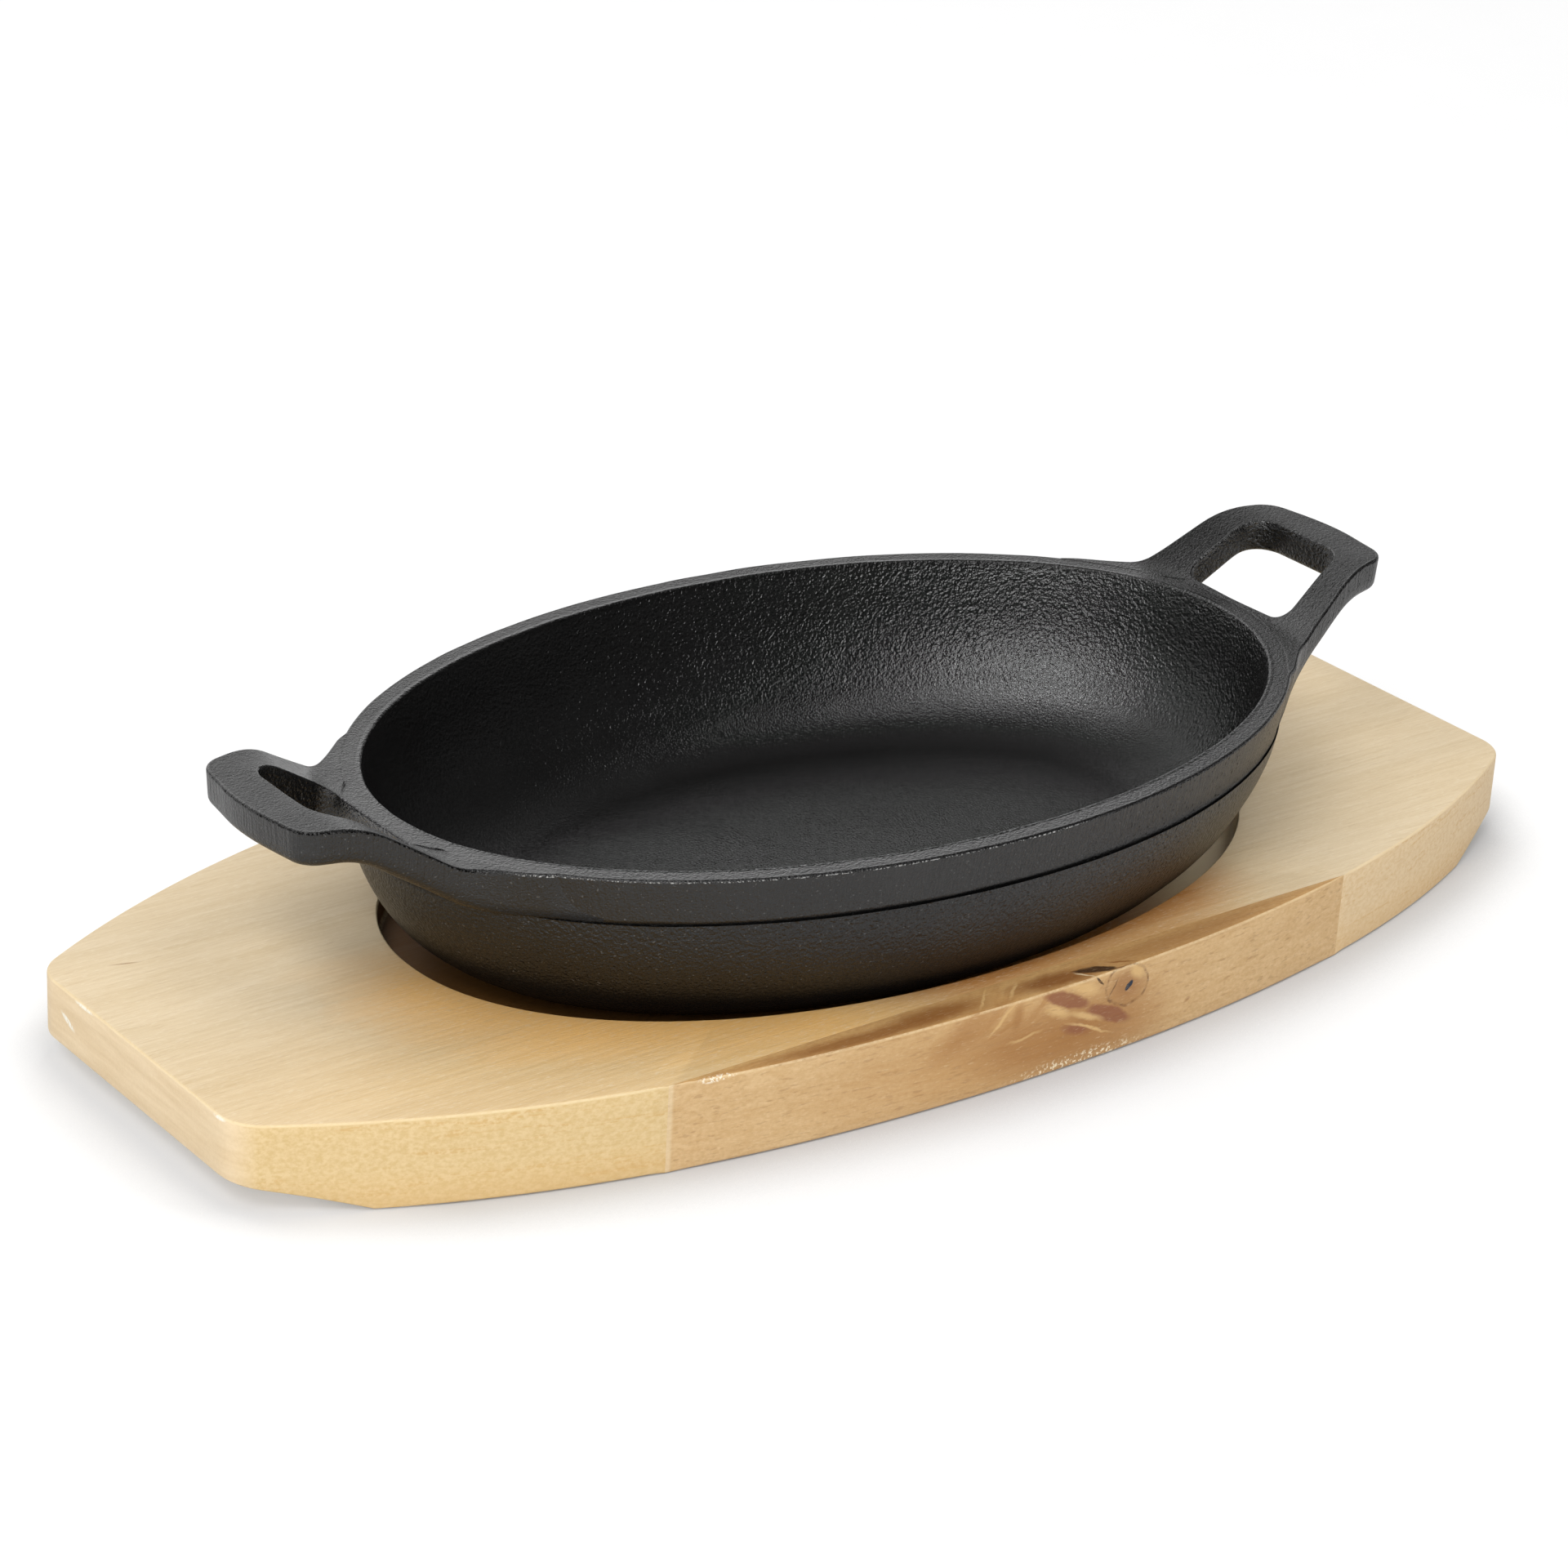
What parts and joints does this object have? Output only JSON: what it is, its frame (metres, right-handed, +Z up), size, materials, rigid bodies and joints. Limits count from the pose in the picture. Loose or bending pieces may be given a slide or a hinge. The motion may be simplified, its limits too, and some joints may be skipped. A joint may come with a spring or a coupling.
{
  "type": "sizzle platter",
  "caption": "Oval cast-iron sizzle dish with a loop handle at each end, resting in the recess of a bowed wooden underliner board.",
  "frame": {"origin": "middle of the board's underside, on the surface that the platter stands on", "axes": "+X along the board and through both handles, +Y across the board to the back, +Z up out of the dish"},
  "size_m": [0.2802, 0.1272, 0.0545],
  "materials": {
    "dish_iron": "matte black seasoned iron, pebbly from the sand mould, ground smooth on the rim band",
    "board_wood": "pale close-grained hardwood, sanded, thin clear finish",
    "front_stave_wood": "the same wood with a darker heart streak and a knot"
  },
  "bodies": {
    "root": {"cast_iron_dish": "dish_iron", "board_main_stave": "board_wood", "board_front_stave": "front_stave_wood"}
  },
  "joints": []
}
